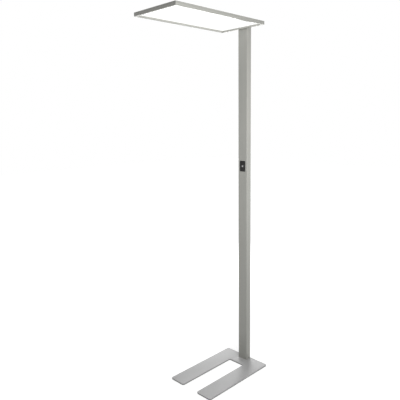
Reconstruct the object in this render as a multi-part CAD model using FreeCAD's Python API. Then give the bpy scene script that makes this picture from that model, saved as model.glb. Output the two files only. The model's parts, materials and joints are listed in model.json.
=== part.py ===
import FreeCAD, Part
import math
import os

from FreeCAD import Placement, Rotation, Vector

# Office floor lamp: a flat light head on a slim column that stands on a U-shaped steel plate.
# Origin: on the floor, under the column's axis. +Z is up and the head reaches out along -Y.
# All sizes are in millimetres.

# ---- Overall ----
lamp_height = 1950.0

# ---- Base plate ----
base_length = 488.0
base_width = 306.0
base_thick = 8.0
base_corner_radius = 12.0
base_edge_bevel = 0.8
base_behind_column = 7.0
slot_width = 104.0
slot_corner_radius = 7.0
web_depth = 100.0

# ---- Pads under the base ----
pad_thick = 1.0
pad_size = 20.0
pad_inset = 26.0

# ---- Column: extruded tube with four screw ports ----
column_width = 62.0
column_depth = 35.0
column_wall = 2.0
column_corner_radius = 1.5
port_bore_radius = 2.6
port_wall = 1.6
port_skin = 1.0
port_mouth = 2.2
cap_peg_length = 8.0
cap_peg_sides = 6

# ---- Screws that hold the base to the column ----
foot_head_radius = 5.4
foot_screw_length = 32.0

# ---- Mains lead's inlet, low on the back of the column ----
inlet_height = 60.0
inlet_bore_radius = 3.75
inlet_body_radius = 6.0
inlet_rim = 2.5
inlet_rim_thick = 1.5
inlet_snap = 0.7
inlet_snap_length = 3.0

# ---- Head frame: one extruded section, mitred at the corners ----
head_length = 620.0
head_width = 294.0
head_height = 18.0
cover_thick = 1.2
bezel_width = 10.0
recess_depth = 8.5
upper_wall = 4.6
lower_wall = 1.8
chamber_wall = 1.6
groove_width = 1.2
groove_depth = 0.7
groove_from_edge = 3.4
frame_edge_bevel = 0.4
cover_edge_inset = 0.3
key_leg = 30.0
key_clearance = 0.1

# ---- Cover screws ----
cover_screw_head_radius = 2.3
cover_screw_radius = 1.25
cover_screw_length = 6.0
cover_screw_inset = 2.9
cover_screw_count = 2

# ---- Light stack in the head ----
diffuser_thick = 2.0
guide_thick = 2.5
reflector_thick = 0.4
stack_clearance = 0.3
strip_board_thick = 1.0
strip_board_height = 7.9
strip_end_gap = 12.0
led_depth = 0.7
led_height = 2.2
led_length = 3.5
led_pitch = 40.0
foam_width = 20.0
foam_side_gap = 12.0
foam_end_gap = 25.0

# ---- Steel bracket between column and head ----
bracket_thick = 3.0
bracket_neck_width = 28.0
bracket_plate_width = 150.0
bracket_plate_length = 110.0
bracket_plate_corner = 8.0
bracket_drop = 80.0
bracket_bend_radius = 3.0
bracket_gap = 0.3
notch_gap = 1.5
lead_channel = 8.0
plate_screw_inset = 18.0
plate_screw_head_radius = 2.7
plate_screw_radius = 1.5
plate_screw_length = 4.0
neck_screw_radius = 3.0
neck_screw_pitch = 40.0
neck_screw_top = 26.0
neck_head_radius = 5.25
neck_head_thick = 3.0
neck_screw_end = 1.0
nut_across_flats = 10.0
nut_thick = 5.0

# ---- Control panel on the front of the column ----
control_height = 1186.0
panel_width = 38.0
panel_height = 60.0
panel_proud = 1.5
panel_corner_radius = 2.0
panel_front_wall = 3.0
panel_dish_inset = 3.0
panel_dish_depth = 0.5
panel_lap = 2.0
window_clearance = 0.2
tub_depth = 14.5
tub_wall = 1.2
snap_width = 12.0
snap_height = 0.8
snap_length = 3.0
snap_gap = 0.1

# ---- Push button ----
button_radius = 6.0
button_proud = 1.0
button_bevel = 0.4
button_clearance = 0.08
button_collar = 1.6
button_collar_thick = 1.5
button_stop_gap = 0.1
button_travel = 1.5
stem_radius = 2.0
switch_gap = 0.1
spring_radius = 5.2
spring_wire_radius = 0.3
spring_turns = 5
spring_steps = 10
spring_sides = 6
spring_gap = 0.05

# ---- Board behind the button ----
board_thick = 1.6
board_screw_radius = 1.1
board_screw_head_radius = 2.1
board_screw_head_thick = 1.4
board_screw_length = 8.0
boss_radius = 2.6
switch_size = 6.0
switch_body_depth = 4.0
plunger_radius = 1.7
plunger_depth = 1.0
socket_width = 8.0
socket_depth = 4.0
socket_height = 7.0
socket_drop = 17.0

# ---- Driver (power supply) inside the column ----
driver_low = 130.0
driver_length = 280.0
driver_width = 30.0
driver_depth = 21.0
driver_corner_radius = 1.5
driver_rib_count = 5
driver_rib_width = 1.2
driver_rib_depth = 0.8
end_cap_length = 18.0
lug_thick = 2.0
lug_width = 12.0
lug_length = 12.0
lug_screw_radius = 1.5
lug_screw_head_radius = 2.8
lug_screw_head_thick = 2.0
tray_wall = 1.0
tray_flange = 6.0
tray_clearance = 0.2
tray_beyond = 26.0
tray_boss_across_flats = 8.0
tray_boss_height = 5.0
tray_screw_inset = 8.0
tray_screw_radius = 2.0
tray_screw_head_radius = 3.8
tray_screw_head_thick = 2.2
tray_screw_length = 7.5

# ---- Leads inside ----
lead_radius = 1.3
lead_sides = 8
lead_steps = 4
lead_bend = 12.0
lead_corner_bend = 4.0
lead_side = 8.0
lead_from_back = 11.5
lead_shift_length = 34.0
lead_shift_below = 30.0

# ---- General fits ----
hole_clearance = 0.2
thread_gap = 0.05
socket_share = 0.55
socket_floor = 0.5
screw_sides = 12
cut_beyond = 1.0

# ---- Places that follow from the sizes ----
up = Vector(0, 0, 1)
down = Vector(0, 0, -1)
front = Vector(0, -1, 0)
back = Vector(0, 1, 0)

base_low = pad_thick
base_top = base_low + base_thick
column_front = -column_depth / 2
column_back = column_depth / 2
column_top = lamp_height - cover_thick
inner_half_width = column_width / 2 - column_wall
inner_front = column_front + column_wall
inner_back = column_back - column_wall
base_back = column_back + base_behind_column
base_front = base_back - base_length
slot_back = base_back - web_depth
port_x = inner_half_width - port_bore_radius - port_skin
port_y = inner_back - port_bore_radius - port_skin
port_radius = port_bore_radius + port_wall

frame_height = head_height - cover_thick
head_low = lamp_height - head_height
frame_top = head_low + frame_height
head_back = column_front
head_front = head_back - head_length
head_middle = (head_back + head_front) / 2
ledge = head_low + recess_depth
diffuser_top = ledge + diffuser_thick
guide_top = diffuser_top + guide_thick
reflector_top = guide_top + reflector_thick
strip_face = head_width / 2 - upper_wall - strip_board_thick
stack_half_width = strip_face - led_depth - stack_clearance
stack_back = head_back - upper_wall - stack_clearance
stack_front = head_front + upper_wall + stack_clearance

bracket_low = frame_top - bracket_thick
notch_low = bracket_low - bracket_gap
lead_x = bracket_neck_width / 2 + notch_gap + lead_radius
notch_half_width = lead_x + lead_radius + notch_gap
plate_back = head_back - upper_wall - lead_channel
plate_front = plate_back - bracket_plate_length

window_width = panel_width - 2 * panel_lap
window_height = panel_height - 2 * panel_lap
tub_width = window_width - 2 * window_clearance
tub_height = window_height - 2 * window_clearance
panel_front = column_front - panel_proud
panel_wall_back = panel_front + panel_front_wall
board_front = panel_front + tub_depth
board_back = board_front + board_thick
switch_front = board_front - switch_body_depth
plunger_front = switch_front - plunger_depth
board_screw_x = tub_width / 2 - tub_wall / 2 - boss_radius
board_screw_z = tub_height / 2 - tub_wall / 2 - boss_radius
socket_middle = board_back + socket_depth / 2

tray_front = inner_back - tray_wall
tray_half_width = driver_width / 2 + tray_clearance + tray_wall
tray_low = driver_low - end_cap_length - tray_beyond
tray_high = driver_low + driver_length + end_cap_length + tray_beyond
driver_cap_top = driver_low + driver_length + end_cap_length
lead_y = inner_back - lead_from_back


# ---- Shape helpers ----
def on_level(z):
    """Points (x, y) on a level plane."""
    return lambda u, v: Vector(u, v, z)


def on_front(y):
    """Points (x, z) on an upright plane that faces the front."""
    return lambda u, v: Vector(u, y, v)


def on_side(x):
    """Points (y, z) on an upright plane that faces sideways."""
    return lambda u, v: Vector(x, u, v)


def outline(corners, at):
    """Closed wire through corners (u, v, radius), each rounded by its radius; at() gives points in space."""
    starts = []
    middles = []
    ends = []
    for i, (u, v, radius) in enumerate(corners):
        corner = Vector(u, v, 0)
        to_last = (Vector(*corners[i - 1][:2], 0) - corner).normalize()
        to_next = (Vector(*corners[(i + 1) % len(corners)][:2], 0) - corner).normalize()
        half = to_last.getAngle(to_next) / 2
        starts.append(corner + to_last * (radius / math.tan(half)))
        ends.append(corner + to_next * (radius / math.tan(half)))
        inward = (to_last + to_next).normalize()
        middles.append(corner + inward * (radius / math.sin(half) - radius))
    edges = []
    for i, (u, v, radius) in enumerate(corners):
        if radius > 0:
            arc = Part.Arc(*(at(p.x, p.y) for p in (starts[i], middles[i], ends[i])))
            edges.append(arc.toShape())
        after = starts[(i + 1) % len(corners)]
        edges.append(Part.makeLine(at(ends[i].x, ends[i].y), at(after.x, after.y)))
    return Part.Wire(edges)


def slab(corners, at, push):
    """Solid made by pushing a rounded outline along a vector."""
    return Part.Face(outline(corners, at)).extrude(push)


def rectangle(u_low, v_low, u_high, v_high, radius=0.0):
    """Corners of a rectangle with one radius."""
    ends = [(u_low, v_low), (u_high, v_low), (u_high, v_high), (u_low, v_high)]
    return [(u, v, radius) for u, v in ends]


def block(low, high):
    """Box between two opposite corners."""
    size = Vector(*high) - Vector(*low)
    return Part.makeBox(size.x, size.y, size.z, Vector(*low))


def placed(shape, at, into):
    """Shape made along +Z at the origin, moved so that it starts at a point and runs along a direction."""
    moved = shape.copy()
    moved.Placement = Placement(at, Rotation(up, into))
    return moved


def hexagon(across_flats, height):
    """Hexagonal prism along +Z."""
    points = ring(across_flats / math.sqrt(3), 0, 6)
    return Part.Face(Part.makePolygon(points + points[:1])).extrude(up * height)


def one(shape):
    """Fused solid without its seams."""
    return shape.removeSplitter()


def ring(radius, distance, sides):
    """Regular ring of points round the Z axis."""
    turns = [2 * math.pi * k / sides for k in range(sides)]
    return [Vector(radius * math.cos(turn), radius * math.sin(turn), distance) for turn in turns]


def ringed(rings):
    """Solid with flat facets through closed rings that have equally many points, flat at both ends."""
    faces = [Part.Face(Part.makePolygon(end + end[:1])) for end in (rings[0], rings[-1])]
    for here, after in zip(rings, rings[1:]):
        for k in range(len(here)):
            faces.append(Part.Face(Part.makePolygon([here[k - 1], here[k], after[k], here[k - 1]])))
            faces.append(Part.Face(Part.makePolygon([here[k - 1], after[k], after[k - 1], here[k - 1]])))
    solid = Part.makeSolid(Part.makeShell(faces))
    if solid.Volume < 0:
        solid.reverse()
    return solid


def tube(path, radius, sides):
    """Solid tube of flat facets along a list of points."""
    reach = Rotation(up, path[1] - path[0]).multVec(Vector(radius, 0, 0))
    rings = []
    for i, point in enumerate(path):
        along = (path[min(i + 1, len(path) - 1)] - path[max(i - 1, 0)]).normalize()
        reach = (reach - along * reach.dot(along)).normalize() * radius
        rings.append([point + Rotation(along, 360 * k / sides).multVec(reach) for k in range(sides)])
    return ringed(rings)


def flat_screw(at, into, head_radius, shank_radius, length):
    """Countersunk screw with a socket: the flat of its head is at a point, its shank runs along into."""
    sink = head_radius - shank_radius
    socket = shank_radius * socket_share
    profile = [
        (socket, sink * socket_floor),
        (socket, 0),
        (head_radius, 0),
        (shank_radius, sink),
        (shank_radius, length),
    ]
    return placed(one(ringed([ring(*spot, screw_sides) for spot in profile])), at, into)


def drilled(at, into, radius, depth):
    """Space for a screw's shank, with the same facets as the screw."""
    return placed(one(ringed([ring(radius, 0, screw_sides), ring(radius, depth, screw_sides)])), at, into)


def flat_hole(at, into, head_radius, depth):
    """Space for a countersunk screw's head, with the same facets as the screw and as deep as asked."""
    wide = head_radius + hole_clearance
    rings = [ring(wide, 0, screw_sides), ring(wide - depth, depth, screw_sides)]
    return placed(one(ringed(rings)), at, into)


def pan_screw(at, into, head_radius, head_thick, shank_radius, length):
    """Screw with a raised head: the underside of its head is at a point, its shank runs along into."""
    socket = shank_radius * socket_share
    profile = [
        (socket, head_thick * (socket_floor - 1)),
        (socket, -head_thick),
        (head_radius, -head_thick),
        (head_radius, 0),
        (shank_radius, 0),
        (shank_radius, length),
    ]
    return placed(one(ringed([ring(*spot, screw_sides) for spot in profile])), at, into)


def cylinder(radius, start, end):
    """Round bar between two points."""
    run = end - start
    return Part.makeCylinder(radius, run.Length, start, run)


def turned(profile, centre, along):
    """Solid of revolution: profile holds (radius, distance) corners, distance runs along a direction."""
    points = [Vector(radius, 0, distance) for radius, distance in profile]
    face = Part.Face(Part.makePolygon(points + points[:1]))
    return placed(face.revolve(Vector(0, 0, 0), up, 360), centre, along)


def mirrored(shape):
    """The same shape on the other side of the lamp's middle plane."""
    return shape.mirror(Vector(0, 0, 0), Vector(1, 0, 0))


def lead(points, bends):
    """Round lead along straight runs joined by tangent arcs, one bend radius for each inner point."""
    path = [points[0]]
    for corner, after, bend in zip(points[1:-1], points[2:], bends):
        to_last = (path[-1] - corner).normalize()
        to_next = (after - corner).normalize()
        half = to_last.getAngle(to_next) / 2
        start = corner + to_last * (bend / math.tan(half))
        end = corner + to_next * (bend / math.tan(half))
        middle = corner + (to_last + to_next).normalize() * (bend / math.sin(half) - bend)
        path += Part.Arc(start, middle, end).toShape().discretize(Number=lead_steps + 1)
    path.append(points[-1])
    return tube(path, lead_radius, lead_sides)


def save(name, *solids):
    """Writes one sub-part, one or more closed solids."""
    shape = solids[0] if len(solids) == 1 else Part.makeCompound(list(solids))
    if not shape.isValid() or len(shape.Solids) < len(solids):
        raise RuntimeError(name + " isn't a set of valid solids")
    shape.exportStep(os.path.join("parts", name + ".step"))


# ---- Base ----
port_places = [(x, y) for x in (-port_x, port_x) for y in (-port_y, port_y)]


def base_plate():
    """U-shaped steel plate: two prongs, a rear web, bevelled top edge, countersunk holes under the column."""
    outer = base_corner_radius
    corners = [
        (base_width / 2, base_back, outer),
        (-base_width / 2, base_back, outer),
        (-base_width / 2, base_front, outer),
        (-slot_width / 2, base_front, outer),
        (-slot_width / 2, slot_back, slot_corner_radius),
        (slot_width / 2, slot_back, slot_corner_radius),
        (slot_width / 2, base_front, outer),
        (base_width / 2, base_front, outer),
    ]
    plate = slab(corners, on_level(base_low), up * base_thick)
    rim = [edge for edge in plate.Edges if edge.BoundBox.ZMin > base_top - base_edge_bevel]
    plate = plate.makeChamfer(base_edge_bevel, rim)
    for x, y in port_places:
        place = Vector(x, y, base_low)
        sink = flat_hole(place, up, foot_head_radius, foot_head_radius - port_bore_radius)
        bore = drilled(place, up, port_bore_radius + hole_clearance, base_thick + cut_beyond)
        plate = plate.cut([sink, bore])
    return plate


def base_pads():
    """Square rubber pads: one under the column, the rest under the web's corners and along the prongs."""
    side = base_width / 2 - pad_inset
    prong = (base_width + slot_width) / 4
    tip = base_front + pad_inset
    places = [
        (0, 0),
        (-side, base_back - pad_inset),
        (side, base_back - pad_inset),
        (-prong, (tip + slot_back) / 2),
        (prong, (tip + slot_back) / 2),
        (-prong, tip),
        (prong, tip),
    ]
    half = pad_size / 2
    return [block((x - half, y - half, 0), (x + half, y + half, pad_thick)) for x, y in places]


def foot_screws():
    """Countersunk screws up through the plate into the column's screw ports."""
    radius = port_bore_radius - thread_gap
    return [flat_screw(Vector(x, y, base_low), up, foot_head_radius, radius, foot_screw_length)
            for x, y in port_places]


# ---- Column ----
def column_tube():
    """Extruded tube with four C-shaped screw ports, the panel's window, the bracket's notch, screw holes."""
    height = column_top - base_top
    rise = up * height
    level = on_level(base_top)
    half = column_width / 2
    body = slab(rectangle(-half, column_front, half, column_back, column_corner_radius), level, rise)
    hollow = rectangle(-inner_half_width, inner_front, inner_half_width, inner_back)
    body = body.cut(slab(hollow, level, rise))
    for x, y in port_places:
        body = body.fuse(Part.makeCylinder(port_radius, height, Vector(x, y, base_top)))
    body = one(body)
    for x, y in port_places:
        bore = Part.makeCylinder(port_bore_radius, height, Vector(x, y, base_top))
        mouth = Part.makeBox(2 * port_radius, port_mouth, height, Vector(0, -port_mouth / 2, 0))
        mouth.Placement = Placement(Vector(x, y, base_top), Rotation(up, math.degrees(math.atan2(-y, -x))))
        body = body.cut(bore.fuse(mouth))
    window = rectangle(
        -window_width / 2,
        control_height - window_height / 2,
        window_width / 2,
        control_height + window_height / 2,
        panel_corner_radius / 2,
    )
    through = 2 * cut_beyond + column_wall
    body = body.cut(slab(window, on_front(column_front - cut_beyond), back * through))
    notch = block(
        (-notch_half_width, column_front - cut_beyond, notch_low),
        (notch_half_width, inner_front + cut_beyond, column_top + cut_beyond),
    )
    body = body.cut(notch)
    inlet = Vector(0, column_back, inlet_height)
    body = body.cut(cylinder(inlet_body_radius, inlet + back * cut_beyond, inlet + front * through))
    holes = [(place, neck_screw_radius) for place in neck_screw_places()]
    holes += [(place, tray_screw_radius) for place in tray_screw_places()]
    for place, radius in holes:
        start = place + back * cut_beyond
        body = body.cut(drilled(start, front, radius + hole_clearance, through))
    return body


def column_cap():
    """Flat lid of the column, with pegs that push into the screw ports."""
    half = column_width / 2
    corners = rectangle(-half, column_front, half, column_back, column_corner_radius)
    lid = slab(corners, on_level(column_top), up * cover_thick)
    for x, y in port_places:
        radius = port_bore_radius - thread_gap
        ends = [ring(radius, distance, cap_peg_sides) for distance in (0, cap_peg_length)]
        lid = lid.fuse(placed(one(ringed(ends)), Vector(x, y, column_top), down))
    return one(lid)


def cable_inlet_bush():
    """Snap-in bush for the mains lead: outer rim, body in the tube's wall, snap collar inside, and a bore."""
    body = inlet_body_radius - thread_gap
    rim = inlet_body_radius + inlet_rim
    collar = inlet_body_radius + inlet_snap
    profile = [
        (inlet_bore_radius, -inlet_rim_thick),
        (rim, -inlet_rim_thick),
        (rim, 0),
        (body, 0),
        (body, column_wall + thread_gap),
        (collar, column_wall + thread_gap),
        (body, column_wall + inlet_snap_length),
        (inlet_bore_radius, column_wall + inlet_snap_length),
    ]
    return turned(profile, Vector(0, column_back, inlet_height), front)


# ---- Head frame ----
def frame_section():
    """Section of the frame, as (inward from its outer face, up from its foot) corners, and its chamber."""
    low = groove_from_edge
    high = frame_height - groove_from_edge
    half = groove_width / 2
    section = [
        (frame_edge_bevel, 0, 0),
        (bezel_width, 0, 0),
        (bezel_width, recess_depth, 0),
        (upper_wall, recess_depth, 0),
        (upper_wall, frame_height, 0),
        (0, frame_height, 0),
        (0, high + half, 0),
        (groove_depth, high + half, 0),
        (groove_depth, high - half, 0),
        (0, high - half, 0),
        (0, low + half, 0),
        (groove_depth, low + half, 0),
        (groove_depth, low - half, 0),
        (0, low - half, 0),
        (0, frame_edge_bevel, 0),
    ]
    chamber = rectangle(lower_wall, chamber_wall, bezel_width - chamber_wall, recess_depth - chamber_wall)
    return section, chamber


def frame_side(length):
    """One side of the frame along X, outer face on y = 0 and its foot on z = 0, mitred at both ends."""
    section, chamber = frame_section()
    along = Vector(length, 0, 0)
    bar = slab(section, on_side(-length / 2), along)
    bar = bar.cut(slab(chamber, on_side(-length / 2), along))
    reach = bezel_width * 2
    mitre = [
        (-length / 2 - reach, -reach, 0),
        (length / 2 + reach, -reach, 0),
        (length / 2 - reach, reach, 0),
        (-length / 2 + reach, reach, 0),
    ]
    return bar.common(slab(mitre, on_level(-reach), up * (frame_height + 2 * reach)))


def screw_line(low, high, count):
    """Evenly spaced places between two ends, each end half a step away."""
    step = (high - low) / count
    return [low + step * (k + 0.5) for k in range(count)]


def cover_screw_places():
    """Points on the cover's top where its screws go, along both long sides."""
    x = head_width / 2 - cover_screw_inset
    return [Vector(side, y, lamp_height) for side in (-x, x)
            for y in screw_line(head_front, head_back, cover_screw_count)]


def head_frame():
    """The four mitred sides in place, with the cover's screw holes and the notch for the bracket."""
    across = frame_side(head_width)
    along = frame_side(head_length)
    sides = {
        "head_frame_front": (across, Vector(0, head_front, head_low), 0),
        "head_frame_rear": (across, Vector(0, head_back, head_low), 180),
        "head_frame_left": (along, Vector(-head_width / 2, head_middle, head_low), -90),
        "head_frame_right": (along, Vector(head_width / 2, head_middle, head_low), 90),
    }
    radius = cover_screw_radius + thread_gap
    holes = [drilled(place, down, radius, cover_screw_length) for place in cover_screw_places()]
    notch = block(
        (-notch_half_width, head_back - upper_wall - cut_beyond, notch_low),
        (notch_half_width, head_back + cut_beyond, frame_top + cut_beyond),
    )
    frame = {}
    for name, (side, place, turn) in sides.items():
        bar = side.copy()
        bar.Placement = Placement(place, Rotation(up, turn))
        near = [hole for hole in holes if hole.BoundBox.intersect(bar.BoundBox)]
        bar = bar.cut(near)
        frame[name] = bar.cut(notch) if name == "head_frame_rear" else bar
    return frame


def corner_keys():
    """Square corner brackets inside the frame's chamber."""
    near = lower_wall + key_clearance
    far = bezel_width - chamber_wall - key_clearance
    low = head_low + chamber_wall
    height = recess_depth - 2 * chamber_wall - key_clearance
    keys = []
    for side in (-1, 1):
        for end in (-1, 1):
            place = [(u, v) for u, v in ((near, near), (key_leg, near), (key_leg, far), (far, far),
                                         (far, key_leg), (near, key_leg))]
            corners = [(side * (head_width / 2 - u), head_middle + end * (head_length / 2 - v), 0)
                       for u, v in place]
            keys.append(slab(corners, on_level(low), up * height))
    return keys


def head_cover():
    """Flat sheet lid of the head with countersunk holes for its own screws and for the bracket's."""
    half = head_width / 2 - cover_edge_inset
    corners = rectangle(-half, head_front + cover_edge_inset, half, head_back)
    sheet = slab(corners, on_level(frame_top), up * cover_thick)
    for place in cover_screw_places():
        sheet = sheet.cut(flat_hole(place, down, cover_screw_head_radius, cover_thick))
    for place in plate_screw_places():
        sheet = sheet.cut(flat_hole(place, down, plate_screw_head_radius, cover_thick))
    return sheet


def cover_screws():
    """Small countersunk screws round the cover's edge."""
    length = cover_screw_length - thread_gap
    return [flat_screw(place, down, cover_screw_head_radius, cover_screw_radius, length)
            for place in cover_screw_places()]


# ---- Light stack ----
def sheet_in_head(low, thick):
    """One sheet of the light stack."""
    corners = rectangle(-stack_half_width, stack_front, stack_half_width, stack_back)
    return slab(corners, on_level(low), up * thick)


def led_strip():
    """Right-hand strip: a narrow board on edge with a row of lamps that face the light guide."""
    y_low = head_front + strip_end_gap
    y_high = head_back - strip_end_gap
    wall = head_width / 2 - upper_wall
    strip = block((strip_face, y_low, ledge), (wall, y_high, ledge + strip_board_height))
    middle = diffuser_top + guide_thick / 2
    count = int((y_high - y_low) / led_pitch)
    lamps = [block((strip_face - led_depth, y - led_length / 2, middle - led_height / 2),
                   (strip_face, y + led_length / 2, middle + led_height / 2))
             for y in screw_line(y_low, y_high, count)]
    return one(strip.fuse(lamps))


def pressure_pads():
    """Foam strips between the reflector and the cover, clear of the bracket."""
    side = bracket_plate_width / 2 + foam_side_gap
    y_low = head_front + foam_end_gap
    y_high = head_back - foam_end_gap - lead_channel
    spans = [
        (-side - foam_width, -side, y_high),
        (side, side + foam_width, y_high),
        (-foam_width / 2, foam_width / 2, plate_front - foam_end_gap),
    ]
    return [block((low, y_low, reflector_top), (high, y_end, frame_top)) for low, high, y_end in spans]


# ---- Bracket between column and head ----
def plate_screw_places():
    """Points on the cover's top where the bracket's screws go."""
    x = bracket_plate_width / 2 - plate_screw_inset
    return [Vector(side, y, lamp_height) for side in (-x, x)
            for y in (plate_front + plate_screw_inset, plate_back - plate_screw_inset)]


def neck_screw_places():
    """Points on the column's back face where the bracket's screws go, one below the other."""
    top = frame_top - neck_screw_top
    return [Vector(0, column_back, z) for z in (top, top - neck_screw_pitch)]


def head_bracket():
    """Bent steel bracket: leg down the column's back wall, neck through the notch, plate in the head."""
    outer = bracket_bend_radius + bracket_thick
    leg = [
        (inner_back, frame_top, outer),
        (plate_back, frame_top, 0),
        (plate_back, bracket_low, 0),
        (inner_back - bracket_thick, bracket_low, bracket_bend_radius),
        (inner_back - bracket_thick, frame_top - bracket_drop, 0),
        (inner_back, frame_top - bracket_drop, 0),
    ]
    neck = slab(leg, on_side(-bracket_neck_width / 2), Vector(bracket_neck_width, 0, 0))
    half = bracket_plate_width / 2
    corners = rectangle(-half, plate_front, half, plate_back, bracket_plate_corner)
    bracket = one(neck.fuse(slab(corners, on_level(bracket_low), up * bracket_thick)))
    for place in plate_screw_places():
        bracket = bracket.cut(drilled(place, down, plate_screw_radius + thread_gap, head_height))
    for place in neck_screw_places():
        bracket = bracket.cut(drilled(place, front, neck_screw_radius + hole_clearance, column_depth / 2))
    return bracket


def plate_screws():
    """Countersunk screws through the cover into the bracket."""
    return [flat_screw(place, down, plate_screw_head_radius, plate_screw_radius, plate_screw_length)
            for place in plate_screw_places()]


def neck_screws():
    """Screws through the column's back wall and the bracket's leg."""
    length = column_wall + bracket_thick + nut_thick + neck_screw_end
    return [pan_screw(place, front, neck_head_radius, neck_head_thick, neck_screw_radius, length)
            for place in neck_screw_places()]


def bracket_nuts():
    """Hexagon nuts on those screws, against the bracket's leg."""
    bore = drilled(down * cut_beyond, up, neck_screw_radius + thread_gap, nut_thick + 2 * cut_beyond)
    nut = hexagon(nut_across_flats, nut_thick).cut(bore)
    seat = front * (column_wall + bracket_thick)
    return [placed(nut, place + seat, front) for place in neck_screw_places()]


# ---- Control panel ----
def control_housing():
    """Moulded housing that snaps into the column's window: dished plate, tub, snap hooks and two bosses."""
    half_width = panel_width / 2
    half_height = panel_height / 2
    plate = rectangle(-half_width, control_height - half_height, half_width, control_height + half_height,
                      panel_corner_radius)
    housing = slab(plate, on_front(panel_front), back * panel_proud)
    tub = rectangle(-tub_width / 2, control_height - tub_height / 2, tub_width / 2,
                    control_height + tub_height / 2, panel_corner_radius / 2)
    housing = housing.fuse(slab(tub, on_front(panel_front), back * tub_depth))
    room_x = tub_width / 2 - tub_wall
    room_z = tub_height / 2 - tub_wall
    room = block((-room_x, panel_wall_back, control_height - room_z),
                 (room_x, board_front, control_height + room_z))
    housing = one(housing).cut(room)
    dish_x = half_width - panel_dish_inset
    dish_z = half_height - panel_dish_inset
    dish = rectangle(-dish_x, control_height - dish_z, dish_x, control_height + dish_z, panel_corner_radius)
    housing = housing.cut(slab(dish, on_front(panel_front), back * panel_dish_depth))
    hook = inner_front + snap_gap
    for side in (-1, 1):
        edge = control_height + side * tub_height / 2
        root = edge - side * tub_wall / 2
        corners = [(hook, root, 0), (hook, edge + side * snap_height, 0), (hook + snap_length, root, 0)]
        housing = housing.fuse(slab(corners, on_side(-snap_width / 2), Vector(snap_width, 0, 0)))
    for place in board_screw_places():
        root = Vector(place.x, panel_wall_back, place.z)
        tip = Vector(place.x, board_front, place.z)
        housing = housing.fuse(cylinder(boss_radius, root, tip))
    housing = one(housing)
    for place in board_screw_places():
        housing = housing.cut(drilled(place, front, board_screw_radius + thread_gap, board_screw_length))
    opening = cylinder(button_radius + button_clearance, Vector(0, panel_front - cut_beyond, control_height),
                       Vector(0, panel_wall_back + cut_beyond, control_height))
    return housing.cut(opening)


def control_button():
    """Round push button: bevelled cap, collar behind the panel and a stem that reaches for the switch."""
    face = -button_proud
    collar_front = panel_wall_back + button_stop_gap - panel_front
    collar_back = collar_front + button_collar_thick
    stem_end = plunger_front - button_travel - switch_gap - panel_front
    profile = [
        (0, face),
        (button_radius - button_bevel, face),
        (button_radius, face + button_bevel),
        (button_radius, collar_front),
        (button_radius + button_collar, collar_front),
        (button_radius + button_collar, collar_back),
        (stem_radius, collar_back),
        (stem_radius, stem_end),
        (0, stem_end),
    ]
    return turned(profile, Vector(0, panel_front, control_height), back)


def button_spring():
    """Coil spring between the button's collar and the board."""
    collar_back = panel_wall_back + button_stop_gap + button_collar_thick
    start = collar_back + spring_gap + spring_wire_radius
    height = board_front - spring_gap - spring_wire_radius - start
    steps = spring_turns * spring_steps
    path = []
    for k in range(steps + 1):
        turn = 2 * math.pi * k / spring_steps
        across = Vector(spring_radius * math.cos(turn), spring_radius * math.sin(turn), 0)
        path.append(across + up * (height * k / steps))
    return placed(tube(path, spring_wire_radius, spring_sides), Vector(0, start, control_height), back)


def board_screw_places():
    """Points on the board's back face where its screws go, in two opposite corners."""
    return [Vector(side * board_screw_x, board_back, control_height + side * board_screw_z)
            for side in (-1, 1)]


def control_board():
    """Circuit board that closes the back of the panel's tub."""
    half_width = tub_width / 2
    half_height = tub_height / 2
    board = rectangle(-half_width, control_height - half_height, half_width, control_height + half_height,
                      panel_corner_radius / 2)
    board = slab(board, on_front(board_front), back * board_thick)
    for place in board_screw_places():
        hole = drilled(place, front, board_screw_radius + hole_clearance, board_thick + cut_beyond)
        board = board.cut(hole)
    return board


def key_switch():
    """Small square switch on the board with a round plunger that faces the stem."""
    half = switch_size / 2
    body = block((-half, switch_front, control_height - half), (half, board_front, control_height + half))
    tip = Vector(0, plunger_front, control_height)
    root = Vector(0, switch_front, control_height)
    return one(body.fuse(cylinder(plunger_radius, tip, root)))


def board_socket():
    """Plug-in socket for the lead on the back of the board."""
    low = control_height - socket_drop
    half = socket_width / 2
    return block((-half, board_back, low), (half, board_back + socket_depth, low + socket_height))


def board_screws():
    """Pan-head screws that hold the board to the housing's bosses."""
    length = board_screw_length - board_thick
    return [pan_screw(place, front, board_screw_head_radius, board_screw_head_thick, board_screw_radius,
                      length)
            for place in board_screw_places()]


# ---- Driver ----
def tray_screw_places():
    """Points on the column's back face where the tray's screws go."""
    return [Vector(0, column_back, z) for z in (tray_low + tray_screw_inset, tray_high - tray_screw_inset)]


def lug_screw_places():
    """Points on the driver's lugs where their screws go."""
    beyond = end_cap_length + lug_length / 2
    front_of_lug = tray_front - lug_thick
    low = driver_low - beyond
    high = driver_low + driver_length + beyond
    return [Vector(0, front_of_lug, z) for z in (low, high)]


def driver_tray():
    """Folded sheet channel on the column's back wall, with a threaded boss near each end."""
    outer = tray_half_width
    inner = outer - tray_wall
    rise = up * (tray_high - tray_low)
    channel = [
        (outer, inner_back, 0),
        (-outer, inner_back, 0),
        (-outer, tray_front - tray_flange, 0),
        (-inner, tray_front - tray_flange, 0),
        (-inner, tray_front, 0),
        (inner, tray_front, 0),
        (inner, tray_front - tray_flange, 0),
        (outer, tray_front - tray_flange, 0),
    ]
    tray = slab(channel, on_level(tray_low), rise)
    for place in tray_screw_places():
        boss = hexagon(tray_boss_across_flats, tray_boss_height)
        tray = tray.fuse(placed(boss, Vector(0, inner_back, place.z), front))
    tray = one(tray)
    for place in tray_screw_places():
        tray = tray.cut(drilled(place, front, tray_screw_radius + thread_gap, column_depth / 2))
    for place in lug_screw_places():
        depth = lug_thick + tray_wall + cut_beyond
        tray = tray.cut(drilled(place, back, lug_screw_radius + thread_gap, depth))
    return tray


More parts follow.
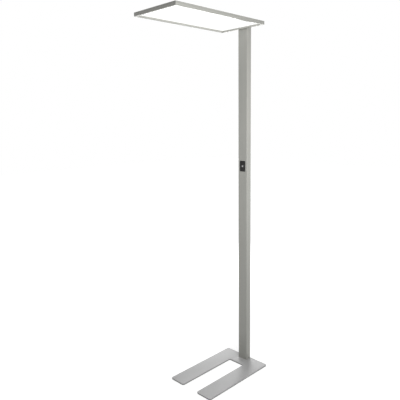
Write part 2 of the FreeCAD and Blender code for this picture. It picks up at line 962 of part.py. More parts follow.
def driver_case():
    """Driver's aluminium case, with shallow cooling grooves along its front."""
    half = driver_width / 2
    face = tray_front - driver_depth
    rise = up * driver_length
    case = slab(rectangle(-half, face, half, tray_front, driver_corner_radius), on_level(driver_low), rise)
    for x in screw_line(-half, half, driver_rib_count):
        groove = block((x - driver_rib_width / 2, face - driver_rib_depth, driver_low),
                       (x + driver_rib_width / 2, face + driver_rib_depth, driver_low + driver_length))
        case = case.cut(groove)
    return case


def driver_end_caps():
    """Plastic terminal caps on the driver's two ends, each with a screw lug."""
    half = driver_width / 2
    corners = rectangle(-half, tray_front - driver_depth, half, tray_front)
    caps = []
    ends = ((driver_low, down), (driver_low + driver_length, up))
    for (z, way), place in zip(ends, lug_screw_places()):
        cap = slab(corners, on_level(z), way * end_cap_length)
        outer_end = z + way.z * (end_cap_length + lug_length)
        low, high = sorted((z + way.z * end_cap_length, outer_end))
        lug = block((-lug_width / 2, tray_front - lug_thick, low), (lug_width / 2, tray_front, high))
        cap = one(cap.fuse(lug))
        hole = drilled(place, back, lug_screw_radius + hole_clearance, lug_thick + cut_beyond)
        caps.append(cap.cut(hole))
    return caps


def driver_tray_screws():
    """Screws through the column's back wall into the tray's bosses."""
    return [pan_screw(place, front, tray_screw_head_radius, tray_screw_head_thick, tray_screw_radius,
                      tray_screw_length)
            for place in tray_screw_places()]


def driver_lug_screws():
    """Screws through the driver's lugs into the tray."""
    return [pan_screw(place, back, lug_screw_head_radius, lug_screw_head_thick, lug_screw_radius,
                      lug_thick + tray_wall)
            for place in lug_screw_places()]


# ---- Leads ----
def strip_lead():
    """Lead from the driver up the column, past the side of the bracket's neck, to the right strip."""
    level = bracket_low + bracket_thick / 2
    channel_y = head_back - upper_wall - lead_channel / 2
    shift = notch_low - lead_shift_below
    points = [
        Vector(lead_side, lead_y, driver_cap_top),
        Vector(lead_side, lead_y, shift - lead_shift_length),
        Vector(lead_x, lead_y, shift),
        Vector(lead_x, lead_y, level),
        Vector(lead_x, channel_y, level),
        Vector(strip_face, channel_y, level),
    ]
    bends = [lead_bend, lead_bend, lead_bend, lead_corner_bend]
    return lead(points, bends)


def control_lead():
    """Lead from the board's socket down to the driver."""
    top = Vector(0, socket_middle, control_height - socket_drop)
    return lead([top, Vector(0, socket_middle, driver_cap_top)], [])


# ---- The lamp ----
os.makedirs("parts", exist_ok=True)

save("base_plate", base_plate())
save("base_pads", *base_pads())
save("foot_screws", *foot_screws())
save("column_tube", column_tube())
save("column_cap", column_cap())
save("cable_inlet_bush", cable_inlet_bush())
for frame_name, frame_bar in head_frame().items():
    save(frame_name, frame_bar)
save("corner_keys", *corner_keys())
save("head_cover", head_cover())
save("cover_screws", *cover_screws())
save("diffuser", sheet_in_head(ledge, diffuser_thick))
save("light_guide", sheet_in_head(diffuser_top, guide_thick))
save("reflector", sheet_in_head(guide_top, reflector_thick))
save("led_strip_right", led_strip())
save("led_strip_left", mirrored(led_strip()))
save("pressure_pads", *pressure_pads())
save("head_bracket", head_bracket())
save("bracket_plate_screws", *plate_screws())
save("bracket_neck_screws", *neck_screws())
save("bracket_nuts", *bracket_nuts())
save("control_housing", control_housing())
save("control_button", control_button())
save("button_spring", button_spring())
save("control_board", control_board())
save("key_switch", key_switch())
save("board_socket", board_socket())
save("board_screws", *board_screws())
save("driver_tray", driver_tray())
save("driver_case", driver_case())
save("driver_end_caps", *driver_end_caps())
save("driver_tray_screws", *driver_tray_screws())
save("driver_lug_screws", *driver_lug_screws())
save("strip_lead_right", strip_lead())
save("strip_lead_left", mirrored(strip_lead()))
save("control_lead", control_lead())
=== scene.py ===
import json
import math
from collections import namedtuple

import bmesh
import bpy
from mathutils import Matrix, Vector

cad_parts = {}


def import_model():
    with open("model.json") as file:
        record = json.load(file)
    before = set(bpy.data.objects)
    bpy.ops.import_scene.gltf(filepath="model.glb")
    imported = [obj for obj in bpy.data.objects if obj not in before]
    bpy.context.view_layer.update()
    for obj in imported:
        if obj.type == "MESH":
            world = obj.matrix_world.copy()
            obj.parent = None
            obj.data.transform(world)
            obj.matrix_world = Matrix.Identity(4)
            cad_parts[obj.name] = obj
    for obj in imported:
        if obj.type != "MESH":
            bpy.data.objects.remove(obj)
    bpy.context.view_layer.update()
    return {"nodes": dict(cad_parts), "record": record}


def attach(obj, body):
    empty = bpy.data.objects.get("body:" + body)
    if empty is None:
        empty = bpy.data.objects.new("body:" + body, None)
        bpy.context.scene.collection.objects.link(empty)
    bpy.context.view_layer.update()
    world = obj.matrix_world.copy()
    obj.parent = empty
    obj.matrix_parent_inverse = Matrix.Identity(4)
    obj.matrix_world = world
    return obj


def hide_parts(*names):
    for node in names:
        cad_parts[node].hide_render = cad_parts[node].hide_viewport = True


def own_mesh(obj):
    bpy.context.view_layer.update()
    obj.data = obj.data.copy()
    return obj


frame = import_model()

# Office floor lamp: flat light head on a slim column over a U-shaped base plate.
# Metres, or mm where a comment says so. Origin on the floor under the column, +Z up, and the head
# reaches out along -Y.

NODES = frame["nodes"]
SLOTS = {part["node"]: part["material_slot"] for part in frame["record"]["subparts"]}
MM = 0.001
UP, DOWN = Vector((0, 0, 1)), Vector((0, 0, -1))
FORWARD, BACK = Vector((0, -1, 0)), Vector((0, 1, 0))
ALONG_Y, ALONG_Z = 1, 2

# ---- Camera: the place, direction and lens that the photograph's edges fit ----
CAMERA_PLACE = Vector((1.68618, -2.02926, 1.42943))
CAMERA_AZIMUTH = math.radians(45.342)
CAMERA_DOWN = math.radians(9.457)
CAMERA_ROLL = math.radians(-0.864)
CAMERA_LENS = 41.326
CAMERA_SENSOR = 36.0
CAMERA_SIGHT = 50.0

# ---- Light: soft panels round the object, the sky, and the floor's glow between two distances ----
SoftLight = namedtuple("SoftLight", "name place target width height watts")
SOFT_LIGHTS = [
    SoftLight("right_key", (1.3, -0.35, 1.4), (0, -0.1, 1.4), 0.8, 0.8, 7.7),
    SoftLight("right_near", (0.9, -0.6, 1.3), (0, 0, 1.3), 0.5, 0.7, 9.1),
    SoftLight("rear", (-2.0, 1.7, 1.35), (0, -0.2, 0.8), 1.8, 1.0, 20.0),
]
SKY_LEVEL = 0.28
BACKDROP_LEVEL = 1.0
FLOOR_REACH = 12.0
FLOOR_GLOW_NEAR, FLOOR_GLOW_FAR = 0.6, 0.8
FLOOR_NEAR, FLOOR_FAR = 0.45, 1.3

# ---- Screws, in mm: radii of head and shank, length, pitch, socket across its flats, and the height
# ---- of a button head ----
Screw = namedtuple("Screw", "head shank length pitch flats thick", defaults=[0.0])
FOOT_SCREW = Screw(5.4, 2.55, 32.0, 1.0, 3.0)
COVER_SCREW = Screw(2.3, 1.25, 5.95, 0.45, 1.3)
PLATE_SCREW = Screw(2.7, 1.5, 4.0, 0.5, 1.6)
NECK_SCREW = Screw(5.25, 3.0, 11.0, 1.0, 4.0, 3.0)
TRAY_SCREW = Screw(3.8, 2.0, 7.5, 0.7, 2.5, 2.2)
SCREW_SIDES = 36
THREAD_DEPTH = 0.14     # over the shank's radius
RINGS_PER_PITCH = 4
SHANK_TIP = 0.7         # end's radius over the shank's
TIP_LENGTH = 0.5
SOCKET_CONE = 0.3       # width of the socket's cone at its bottom, over the flats
SOCKET_RIM = 0.62       # radius of the rim round the socket, over the flats
SOCKET_EDGE = 0.1       # depth of the rim's slope

# ---- Where the screws' heads sit, in mm ----
PLATE_UNDERSIDE, HEAD_TOP, COLUMN_BACK = 1.0, 1950.0, 17.5
FOOT_PLACES = [(x, y, PLATE_UNDERSIDE) for x in (-25.4, 25.4) for y in (-11.9, 11.9)]
COVER_PLACES = [(x, y, HEAD_TOP) for x in (-144.1, 144.1) for y in (-172.5, -482.5)]
PLATE_PLACES = [(x, y, HEAD_TOP) for x in (-57.0, 57.0) for y in (-48.1, -122.1)]
NECK_PLACES = [(0, COLUMN_BACK, z) for z in (1922.8, 1882.8)]
TRAY_PLACES = [(0, COLUMN_BACK, z) for z in (94.0, 446.0)]

# ---- Push button and the coil spring behind it, in mm ----
BUTTON_HEIGHT = 1186.0
BUTTON_DISC, BUTTON_RIM = 4.6, 4.8      # radii where the light disc ends and the black rim starts
SPRING_FRONT, SPRING_REAR = -14.05, -4.85
SPRING_RADIUS, SPRING_WIRE = 5.2, 0.3   # radii of the coil's middle line and of its wire
SPRING_COILS, SPRING_CLOSED = 5, 0.8    # turns; the pitch closes over the second at each end
SPRING_TIGHT = 0.25                     # pitch at the very ends over the pitch between them
SPRING_STEPS, SPRING_SIDES = 40, 12     # rings in a turn, corners in a ring

# ---- Pads under the base plate, in mm: half their width, their middles, and their rings from the
# ---- top down and into the hollow face, as (inset, corner radius, height) ----
PAD_HALF = 10.0
PAD_PLACES = [(0, 0)] + [(side * x, y) for x, y in ((127, -1.5), (102.5, -256.5), (102.5, -437.5))
                         for side in (-1, 1)]
PAD_RINGS = [(0.0, 2.5, 1.0), (0.0, 2.5, 0.35), (0.1, 2.4, 0.12),
             (0.35, 2.2, 0.0), (2.2, 1.4, 0.0), (2.6, 1.2, 0.3)]
PAD_CORNER_STEPS = 6

# ---- Meshes ----
SHARP = 32              # degrees between faces, from which an edge is sharp
SPRING_SHARP = 60
SAME_POINT = 0.001 * MM
FLAT_ENOUGH = 0.5       # degrees


# ---- Node helpers ----
class Surface:
    """A material whose nodes are added one by one."""

    def __init__(self, name):
        self.material = bpy.data.materials.new(name)
        self.material.use_nodes = True
        self.tree = self.material.node_tree
        self.tree.nodes.clear()
        self.output = self.add("ShaderNodeOutputMaterial")
        self.coordinates = self.add("ShaderNodeTexCoord")

    def add(self, kind, **settings):
        node = self.tree.nodes.new(kind)
        for key, value in settings.items():
            setattr(node, key, value)
        return node

    def join(self, source, target):
        self.tree.links.new(source, target)

    def noise(self, scale, stretch=(1, 1, 1), detail=2.0):
        """Noise in the object's own space, stretched along chosen axes."""
        mapping = self.add("ShaderNodeMapping")
        mapping.inputs["Scale"].default_value = stretch
        self.join(self.coordinates.outputs["Object"], mapping.inputs["Vector"])
        noise = self.add("ShaderNodeTexNoise")
        noise.inputs["Scale"].default_value = scale
        noise.inputs["Detail"].default_value = detail
        noise.inputs["Roughness"].default_value = 0.55
        self.join(mapping.outputs["Vector"], noise.inputs["Vector"])
        return noise.outputs["Fac"]

    def cells(self, scale, randomness):
        """Distance to the nearest point of a lattice in the object's own space."""
        cells = self.add("ShaderNodeTexVoronoi", feature="F1")
        cells.inputs["Scale"].default_value = scale
        cells.inputs["Randomness"].default_value = randomness
        self.join(self.coordinates.outputs["Object"], cells.inputs["Vector"])
        return cells.outputs["Distance"]

    def distance(self, centre, along):
        """Distance from a point in the object's own space, counted only along chosen axes."""
        mapping = self.add("ShaderNodeMapping")
        mapping.inputs["Location"].default_value = [-c * a for c, a in zip(centre, along)]
        mapping.inputs["Scale"].default_value = along
        self.join(self.coordinates.outputs["Object"], mapping.inputs["Vector"])
        length = self.add("ShaderNodeVectorMath", operation="LENGTH")
        self.join(mapping.outputs["Vector"], length.inputs[0])
        return length.outputs["Value"]

    def facing_up(self):
        """1 on a level face that looks up, 0 on an upright one."""
        geometry = self.add("ShaderNodeNewGeometry")
        parts = self.add("ShaderNodeSeparateXYZ")
        self.join(geometry.outputs["Normal"], parts.inputs["Vector"])
        return parts.outputs["Z"]

    def total(self, first, second):
        """Sum of two values."""
        node = self.add("ShaderNodeMath", operation="ADD")
        self.join(first, node.inputs[0])
        self.join(second, node.inputs[1])
        return node.outputs["Value"]

    def spread(self, value, low, high, start=0.3, end=0.7):
        """A value's run from start to end, spread between two limits."""
        node = self.add("ShaderNodeMapRange")
        node.inputs["From Min"].default_value = start
        node.inputs["From Max"].default_value = end
        node.inputs["To Min"].default_value = low
        node.inputs["To Max"].default_value = high
        self.join(value, node.inputs["Value"])
        return node.outputs["Result"]

    def shades(self, value, dark, light, start=0.3, end=0.7):
        """A value's run from start to end, turned into a colour between two shades."""
        ramp = self.add("ShaderNodeValToRGB")
        ramp.color_ramp.elements[0].position = start
        ramp.color_ramp.elements[0].color = (*dark, 1)
        ramp.color_ramp.elements[1].position = end
        ramp.color_ramp.elements[1].color = (*light, 1)
        self.join(value, ramp.inputs["Fac"])
        return ramp.outputs["Color"]

    def coat(self, value, level, contrast, warmth=0.0):
        """Greys round a level, for the sum of two textures."""
        dark, light = grey(level - contrast, warmth), grey(level + contrast, warmth)
        return self.shades(value, dark, light, start=0.7, end=1.0)

    def mixed(self, value, first, second):
        """Two colours mixed by a value from 0 to 1."""
        node = self.add("ShaderNodeMix", data_type="RGBA")
        first_input, second_input = [entry for entry in node.inputs if entry.type == "RGBA"]
        self.join(value, node.inputs["Factor"])
        self.join(first, first_input)
        self.join(second, second_input)
        return next(result for result in node.outputs if result.type == "RGBA")

    def bump(self, value, strength, distance):
        """Normal of a relief, with its depth in metres."""
        node = self.add("ShaderNodeBump")
        node.inputs["Strength"].default_value = strength
        node.inputs["Distance"].default_value = distance
        self.join(value, node.inputs["Height"])
        return node.outputs["Normal"]

    def shader(self, **inputs):
        """Principled shader; a socket fills its input by a link, anything else is set on it."""
        shader = self.add("ShaderNodeBsdfPrincipled")
        for key, value in inputs.items():
            target = shader.inputs[key.replace("_", " ")]
            if isinstance(value, bpy.types.NodeSocket):
                self.join(value, target)
            else:
                target.default_value = value
        self.join(shader.outputs["BSDF"], self.output.inputs["Surface"])


def grey(level, warmth=0.0):
    """Linear colour of an sRGB grey level from 0 to 255, with a slight warm cast."""
    linear = ((level / 255 + 0.055) / 1.055) ** 2.4
    return (linear * (1 + warmth / 2), linear * (1 + warmth / 2), linear * (1 - warmth))


def even(value):
    """Linear colour with three equal parts."""
    return (value, value, value)


def satin_metal(name, level, metallic, roughness, grain_axis):
    """Satin coat over an extrusion: faint draw lines along it and soft clouding."""
    surface = Surface(name)
    stretch = [1.0, 1.0, 1.0]
    stretch[grain_axis] = 0.01
    lines = surface.noise(scale=700.0, stretch=stretch)
    cloud = surface.noise(scale=6.0)
    surface.shader(
        Base_Color=surface.coat(surface.total(lines, cloud), level, contrast=3, warmth=0.05),
        Metallic=metallic,
        Roughness=surface.spread(cloud, roughness - 0.02, roughness + 0.03),
        Normal=surface.bump(lines, strength=0.02, distance=0.1 * MM),
    )
    return surface.material


def powder_coat(name, level, edge_shade_level, metallic, roughness):
    """Satin coat with a fine even texture, and painted shade that darkens the plate's upright edges."""
    surface = Surface(name)
    fine = surface.noise(scale=1100.0)
    cloud = surface.noise(scale=9.0, detail=3.0)
    both = surface.total(fine, cloud)
    # Painted shade: upright faces get a darker grey than faces that look up.
    shaded_edges = surface.coat(both, edge_shade_level, contrast=4)
    on_top = surface.coat(both, level, contrast=4)
    unshaded_share = surface.spread(surface.facing_up(), low=0.0, high=1.0, start=0.2, end=0.9)
    surface.shader(
        Base_Color=surface.mixed(unshaded_share, shaded_edges, on_top),
        Metallic=metallic,
        Roughness=surface.spread(cloud, roughness - 0.02, roughness + 0.03),
        Normal=surface.bump(fine, strength=0.06, distance=0.2 * MM),
    )
    return surface.material


def moulded(name, dark, light, roughness, grain=2600.0, strength=0.2, gloss=0.5):
    """Moulded plastic, rubber or foam with a fine grain."""
    surface = Surface(name)
    fine = surface.noise(scale=grain)
    cloud = surface.noise(scale=30.0)
    surface.shader(
        Base_Color=surface.shades(cloud, dark, light),
        Specular_IOR_Level=gloss,
        Roughness=surface.spread(fine, roughness - 0.06, roughness + 0.08),
        Normal=surface.bump(fine, strength, distance=0.1 * MM),
    )
    return surface.material


def push_button(name):
    """Button of two plastics: a light grey disc in a black rim, both with a fine grain."""
    surface = Surface(name)
    fine = surface.noise(scale=2600.0)
    from_axis = surface.distance((0, 0, BUTTON_HEIGHT * MM), along=(1, 0, 1))
    surface.shader(
        Base_Color=surface.shades(from_axis, grey(176), even(0.008), BUTTON_DISC * MM, BUTTON_RIM * MM),
        Roughness=surface.spread(fine, 0.36, 0.48),
        Specular_IOR_Level=0.35,
        Normal=surface.bump(fine, strength=0.15, distance=0.1 * MM),
    )
    return surface.material


def plated(name, colour, roughness):
    """Zinc-plated steel with soft blotches."""
    surface = Surface(name)
    cloud = surface.noise(scale=180.0, detail=5.0)
    dark = tuple(0.8 * part for part in colour)
    surface.shader(
        Base_Color=surface.shades(cloud, dark, colour),
        Metallic=1.0,
        Roughness=surface.spread(cloud, roughness - 0.08, roughness + 0.1),
        Normal=surface.bump(cloud, strength=0.05, distance=0.2 * MM),
    )
    return surface.material


def lit_panel(name):
    """Opal diffuser, lit from behind: a fine prism pattern under a satin face."""
    surface = Surface(name)
    prisms = surface.cells(scale=420.0, randomness=0.15)
    surface.shader(
        Base_Color=surface.shades(prisms, even(0.82), even(0.9), start=0.0, end=0.6),
        Roughness=0.22,
        Emission_Color=surface.shades(prisms, (0.97, 0.975, 0.98), even(1.0), start=0.0, end=0.6),
        Emission_Strength=0.5,
        Normal=surface.bump(prisms, strength=0.04, distance=0.5 * MM),
    )
    return surface.material


def clear_sheet(name):
    """Clear acrylic light guide with a printed dot pattern."""
    surface = Surface(name)
    dots = surface.cells(scale=300.0, randomness=0.0)
    surface.shader(
        Base_Color=surface.shades(dots, even(0.95), (0.8, 0.86, 0.88), start=0.2, end=0.3),
        Roughness=0.08,
        IOR=1.49,
        Transmission_Weight=0.6,
    )
    return surface.material


# ---- The materials, one for each of the record's slots ----
MATERIALS = {
    "column_silver": satin_metal("column_silver", 161, metallic=0.2, roughness=0.45, grain_axis=ALONG_Z),
    "head_silver": satin_metal("head_silver", 164, metallic=0.25, roughness=0.42, grain_axis=ALONG_Y),
    # Grey 156 is the painted shade on the base plate's upright edges.
    "base_silver": powder_coat("base_silver", 184, edge_shade_level=156, metallic=0.12, roughness=0.46),
    "opal_diffuser": lit_panel("opal_diffuser"),
    "clear_acrylic": clear_sheet("clear_acrylic"),
    "white_film": moulded("white_film", even(0.82), even(0.9), 0.5),
    "black_plastic": moulded("black_plastic", even(0.007), even(0.011), 0.4, gloss=0.3),
    "button_grey": push_button("button_grey"),
    "zinc_steel": plated("zinc_steel", (0.62, 0.62, 0.6), 0.32),
    "bracket_steel": plated("bracket_steel", even(0.5), 0.42),
    "black_rubber": moulded("black_rubber", even(0.012), even(0.02), 0.75, grain=900.0, strength=0.4),
    "grey_foam": moulded("grey_foam", even(0.1), even(0.16), 0.9, grain=700.0, strength=0.8),
    "green_board": moulded("green_board", (0.01, 0.07, 0.03), (0.015, 0.1, 0.045), 0.35),
    "white_board": moulded("white_board", (0.75, 0.75, 0.73), (0.85, 0.85, 0.83), 0.4),
    "driver_case": satin_metal("driver_case", 200, metallic=0.9, roughness=0.35, grain_axis=ALONG_Z),
    "driver_caps": moulded("driver_caps", (0.7, 0.7, 0.68), (0.78, 0.78, 0.76), 0.45),
    "lead_sheath": moulded("lead_sheath", (0.6, 0.6, 0.58), (0.68, 0.68, 0.66), 0.5, grain=1500.0),
}


# ---- Piece helpers ----
def piece(mesh, body, node):
    """A shown piece that rides on a body and stands for a CAD node."""
    shown = bpy.data.objects.new(mesh.name, mesh)
    bpy.context.scene.collection.objects.link(shown)
    mesh.materials.clear()
    mesh.materials.append(MATERIALS[SLOTS[node]])
    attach(shown, body)
    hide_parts(node)
    return shown


def smooth_mesh(form, node):
    """The mesh of a form, shaded smooth, under the name of the piece that stands for a node."""
    for face in form.faces:
        face.smooth = True
    mesh = bpy.data.meshes.new(node + "_shown")
    form.to_mesh(mesh)
    form.free()
    return mesh


def finished(form, node, sharp=SHARP):
    """The mesh of a form that was built here, with its sharp edges kept."""
    bmesh.ops.recalc_face_normals(form, faces=form.faces)
    mesh = smooth_mesh(form, node)
    mesh.set_sharp_from_angle(angle=math.radians(sharp))
    return mesh


def softened(node, body, edge, steps=2):
    """A CAD node's shape with its seams closed and its sharp edges rounded, in place of the node."""
    form = bmesh.new()
    form.from_mesh(NODES[node].data)
    bmesh.ops.remove_doubles(form, verts=form.verts, dist=SAME_POINT)
    bmesh.ops.dissolve_limit(form, angle_limit=math.radians(FLAT_ENOUGH), verts=form.verts, edges=form.edges)
    shown = piece(smooth_mesh(form, node), body, node)
    bevel = shown.modifiers.new("edges", "BEVEL")
    bevel.width = edge * MM
    bevel.segments = steps
    bevel.limit_method = "ANGLE"
    bevel.angle_limit = math.radians(SHARP)
    bevel.harden_normals = True
    return shown


def skin(form, rings):
    """Faces between rings of corners, with the first and the last ring filled."""
    loops = [[form.verts.new(corner) for corner in ring] for ring in rings]
    for near, far in zip(loops, loops[1:]):
        for k in range(len(near)):
            after = (k + 1) % len(near)
            form.faces.new((near[k], near[after], far[after], far[k]))
    form.faces.new(loops[0])
    form.faces.new(loops[-1])


# ---- Screws: their rings lie round an axis, at distances in mm from the point where the head sits ----
def shaped_ring(at, into, distance, reach):
    """Ring of corners; reach gives their distance from the axis for each turn from 0 to 1."""
    across = into.orthogonal().normalized()
    beside = into.cross(across)
    corners = []
    for k in range(SCREW_SIDES):
        turn = k / SCREW_SIDES
        angle = 2 * math.pi * turn
        outward = across * math.cos(angle) + beside * math.sin(angle)
        corners.append(at + (into * distance + outward * reach(turn)) * MM)
    return corners


def circle(at, into, radius, distance):
    """Round ring."""
    return shaped_ring(at, into, distance, lambda turn: radius)


def socket(at, into, flats, distance):
    """Hexagonal ring, by its width across the flats."""
    side = 1 / 6

    def reach(turn):
        from_middle = (turn + side / 2) % side - side / 2
        return flats / 2 / math.cos(2 * math.pi * from_middle)

    return shaped_ring(at, into, distance, reach)


def thread_ring(at, into, screw, distance):
    """Ring across a thread, whose crest winds round the shank."""
    def reach(turn):
        phase = (distance / screw.pitch - turn) % 1
        return screw.shank * (1 - THREAD_DEPTH * abs(2 * phase - 1))

    return shaped_ring(at, into, distance, reach)


def threaded(at, into, screw, start):
    """Rings of a screw's thread and of its narrowed tip."""
    end = screw.length - TIP_LENGTH
    steps = int((end - start) / screw.pitch * RINGS_PER_PITCH)
    places = [start + (end - start) * step / steps for step in range(steps + 1)]
    rings = [thread_ring(at, into, screw, distance) for distance in places]
    return rings + [circle(at, into, screw.shank * SHANK_TIP, screw.length)]


def flat_screw(form, at, into, screw):
    """Countersunk screw with a hexagon socket: the flat of its head is at a point."""
    sink = screw.head - screw.shank
    socket_depth, cone_depth = sink * 0.7, sink * 0.85
    edge_width, edge_depth, thread_gap = 0.15, 0.12, 0.4
    rings = [
        socket(at, into, screw.flats * SOCKET_CONE, cone_depth),
        socket(at, into, screw.flats, socket_depth),
        socket(at, into, screw.flats, SOCKET_EDGE),
        circle(at, into, screw.flats * SOCKET_RIM, 0.0),
        circle(at, into, screw.head - edge_width, 0.0),
        circle(at, into, screw.head, edge_depth),
        circle(at, into, screw.shank, sink),
    ]
    skin(form, rings + threaded(at, into, screw, sink + thread_gap))


def button_head_screw(form, at, into, screw):
    """Button-head screw with a hexagon socket: the underside of its head is at a point."""
    floor_height, cone_depth = screw.thick * 0.35, 0.25
    flat_radius, dome_height, dome_steps = screw.flats * 0.72, screw.thick * 0.8, 6
    edge, thread_gap = 0.1, 0.5
    rings = [
        socket(at, into, screw.flats * SOCKET_CONE, cone_depth - floor_height),
        socket(at, into, screw.flats, -floor_height),
        socket(at, into, screw.flats, SOCKET_EDGE - screw.thick),
        circle(at, into, screw.flats * SOCKET_RIM, -screw.thick),
    ]
    for step in range(dome_steps + 1):
        turn = math.pi / 2 * step / dome_steps
        reach = flat_radius + (screw.head - flat_radius) * math.sin(turn)
        rings.append(circle(at, into, reach, dome_height * (1 - math.cos(turn)) - screw.thick))
    rings += [
        circle(at, into, screw.head, -edge),
        circle(at, into, screw.head - edge, 0.0),
        circle(at, into, screw.shank, 0.0),
    ]
    skin(form, rings + threaded(at, into, screw, thread_gap))


def screws(node, build, screw, places, into):
    """All the screws of one node as one piece."""
    form = bmesh.new()
    for place in places:
        build(form, Vector(place) * MM, into, screw)
    return piece(finished(form, node), "lamp", node)


# ---- Spring and pads ----
def coil_spring():
    """Coil spring behind the push button, with closed ends."""
    turns = SPRING_COILS + SPRING_CLOSED
    travelled = [0.0]
    for k in range(1, int(turns * SPRING_STEPS) + 1):
        turn = k / SPRING_STEPS
        openness = min(turn, turns - turn, SPRING_CLOSED) / SPRING_CLOSED
        travelled.append(travelled[-1] + SPRING_TIGHT + (1 - SPRING_TIGHT) * openness * openness)
    form = bmesh.new()
    rings = []
    for k, way in enumerate(travelled):
        turn = 2 * math.pi * k / SPRING_STEPS
        outward = Vector((math.cos(turn), 0, math.sin(turn)))
        along = SPRING_FRONT + (SPRING_REAR - SPRING_FRONT) * way / travelled[-1]
        place = Vector((0, along, BUTTON_HEIGHT)) + outward * SPRING_RADIUS
        corners = []
        for side in range(SPRING_SIDES):
            angle = 2 * math.pi * side / SPRING_SIDES
            corners.append((place + (outward * math.cos(angle) + BACK * math.sin(angle)) * SPRING_WIRE) * MM)
        rings.append(corners)
    skin(form, rings)
    return finished(form, "button_spring", SPRING_SHARP)


def rounded_square(centre, half, corner, height):
    """Level ring on a square with round corners, in mm."""
    ring = []
    for quarter, (side_x, side_y) in enumerate([(1, 1), (-1, 1), (-1, -1), (1, -1)]):
        x = centre[0] + side_x * (half - corner)
        y = centre[1] + side_y * (half - corner)
        for step in range(PAD_CORNER_STEPS + 1):
            turn = math.pi / 2 * (quarter + step / PAD_CORNER_STEPS)
            ring.append(Vector((x + corner * math.cos(turn), y + corner * math.sin(turn), height)) * MM)
    return ring


def floor_pads():
    """Square rubber pads with round corners and a hollow face."""
    form = bmesh.new()
    for centre in PAD_PLACES:
        skin(form, [rounded_square(centre, PAD_HALF - inset, corner, height)
                    for inset, corner, height in PAD_RINGS])
    return finished(form, "base_pads")


# ---- Everything that the CAD carries over ----
for name, node in NODES.items():
    node.data.materials.clear()
    node.data.materials.append(MATERIALS[SLOTS[name]])

# ---- Pieces with rounded edges, whose radii are in mm ----
for side in ("front", "rear", "left", "right"):
    softened("head_frame_" + side, "lamp", edge=0.25)
softened("head_cover", "lamp", edge=0.2)
softened("column_cap", "lamp", edge=0.2)
softened("base_plate", "lamp", edge=0.4)
softened("cable_inlet_bush", "lamp", edge=0.3)
softened("control_housing", "lamp", edge=0.25)
softened("control_button", "button", edge=0.25)
softened("pressure_pads", "lamp", edge=0.8, steps=4)

# ---- Screws, pads and spring ----
screws("foot_screws", flat_screw, FOOT_SCREW, FOOT_PLACES, UP)
screws("cover_screws", flat_screw, COVER_SCREW, COVER_PLACES, DOWN)
screws("bracket_plate_screws", flat_screw, PLATE_SCREW, PLATE_PLACES, DOWN)
screws("bracket_neck_screws", button_head_screw, NECK_SCREW, NECK_PLACES, FORWARD)
screws("driver_tray_screws", button_head_screw, TRAY_SCREW, TRAY_PLACES, FORWARD)
piece(floor_pads(), "lamp", "base_pads")
coil = piece(coil_spring(), "lamp", "button_spring")
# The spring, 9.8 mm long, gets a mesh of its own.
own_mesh(coil)


# ---- Stage ----
def seen_rays(add, link):
    """A value of 1 for rays of the camera, of reflections and of transmission."""
    rays = add("ShaderNodeLightPath")
    seen = rays.outputs["Is Camera Ray"]
    for kind in ("Is Glossy Ray", "Is Transmission Ray"):
        either = add("ShaderNodeMath")
        either.operation = "MAXIMUM"
        link(seen, either.inputs[0])
        link(rays.outputs[kind], either.inputs[1])
        seen = either.outputs["Value"]
    return seen


def floor_material():
    """Pale floor: bright where the camera or a reflection looks at it, but it keeps the object's shadow."""
    surface = Surface("pale_floor")
    cloud = surface.noise(scale=1.2)
    diffuse = surface.add("ShaderNodeBsdfDiffuse")
    surface.join(surface.shades(cloud, even(0.8), even(0.82)), diffuse.inputs["Color"])
    glow = surface.add("ShaderNodeEmission")
    away = surface.distance((0, 0, 0), along=(1, 1, 1))
    glow_level = surface.spread(away, FLOOR_GLOW_NEAR, FLOOR_GLOW_FAR, FLOOR_NEAR, FLOOR_FAR)
    surface.join(glow_level, glow.inputs["Strength"])
    both = surface.add("ShaderNodeAddShader")
    surface.join(diffuse.outputs["BSDF"], both.inputs[0])
    surface.join(glow.outputs["Emission"], both.inputs[1])
    mix = surface.add("ShaderNodeMixShader")
    surface.join(seen_rays(surface.add, surface.join), mix.inputs["Fac"])
    surface.join(diffuse.outputs["BSDF"], mix.inputs[1])
    surface.join(both.outputs["Shader"], mix.inputs[2])
    surface.join(mix.outputs["Shader"], surface.output.inputs["Surface"])
    return surface.material


def floor():
    """Large level floor under the pads."""
    mesh = bpy.data.meshes.new("floor")
    corners = [(x * FLOOR_REACH, y * FLOOR_REACH, 0) for x, y in ((-1, -1), (1, -1), (1, 1), (-1, 1))]
    mesh.from_pydata(corners, [], [(0, 1, 2, 3)])
    ground = bpy.data.objects.new("floor", mesh)
    bpy.context.scene.collection.objects.link(ground)
    mesh.materials.append(floor_material())


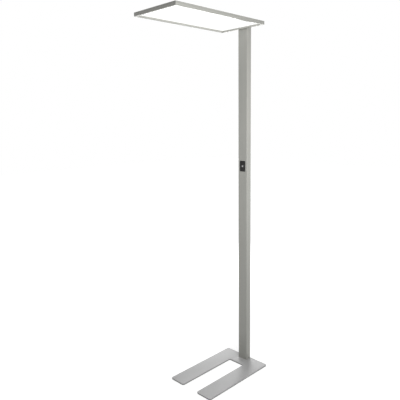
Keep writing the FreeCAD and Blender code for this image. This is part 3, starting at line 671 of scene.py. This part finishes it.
def world():
    """Even light from all round; the camera and reflections see white."""
    sky = bpy.data.worlds.new("studio")
    bpy.context.scene.world = sky
    sky.use_nodes = True
    tree = sky.node_tree
    tree.nodes.clear()
    output = tree.nodes.new("ShaderNodeOutputWorld")
    mix = tree.nodes.new("ShaderNodeMixShader")
    tree.links.new(seen_rays(tree.nodes.new, tree.links.new), mix.inputs["Fac"])
    for place, level in ((1, SKY_LEVEL), (2, BACKDROP_LEVEL)):
        background = tree.nodes.new("ShaderNodeBackground")
        background.inputs["Color"].default_value = (1, 1, 1, 1)
        background.inputs["Strength"].default_value = level
        tree.links.new(background.outputs["Background"], mix.inputs[place])
    tree.links.new(mix.outputs["Shader"], output.inputs["Surface"])


def soft_light(panel):
    """Large soft light that faces its target."""
    light = bpy.data.lights.new(panel.name, "AREA")
    light.shape = "RECTANGLE"
    light.size = panel.width
    light.size_y = panel.height
    light.energy = panel.watts
    holder = bpy.data.objects.new(panel.name, light)
    bpy.context.scene.collection.objects.link(holder)
    holder.location = panel.place
    facing = Vector(panel.target) - Vector(panel.place)
    holder.rotation_euler = facing.to_track_quat("-Z", "Y").to_euler()
    holder.visible_camera = False


def camera():
    """Camera turned by its azimuth, downward tilt and roll."""
    seen = bpy.data.cameras.new("camera")
    seen.sensor_width = CAMERA_SENSOR
    seen.lens = CAMERA_LENS
    seen.clip_end = CAMERA_SIGHT
    holder = bpy.data.objects.new("camera", seen)
    bpy.context.scene.collection.objects.link(holder)
    right = Vector((math.cos(CAMERA_AZIMUTH), math.sin(CAMERA_AZIMUTH), 0))
    level = Vector((-math.sin(CAMERA_AZIMUTH), math.cos(CAMERA_AZIMUTH), 0))
    ahead = level * math.cos(CAMERA_DOWN) - UP * math.sin(CAMERA_DOWN)
    above = level * math.sin(CAMERA_DOWN) + UP * math.cos(CAMERA_DOWN)
    turned_right = right * math.cos(CAMERA_ROLL) + above * math.sin(CAMERA_ROLL)
    turned_above = above * math.cos(CAMERA_ROLL) - right * math.sin(CAMERA_ROLL)
    axes = Matrix((turned_right, turned_above, -ahead)).transposed()
    holder.matrix_world = Matrix.Translation(CAMERA_PLACE) @ axes.to_4x4()
    bpy.context.scene.camera = holder


floor()
world()
for panel in SOFT_LIGHTS:
    soft_light(panel)
camera()
bpy.context.scene.view_settings.view_transform = "Standard"
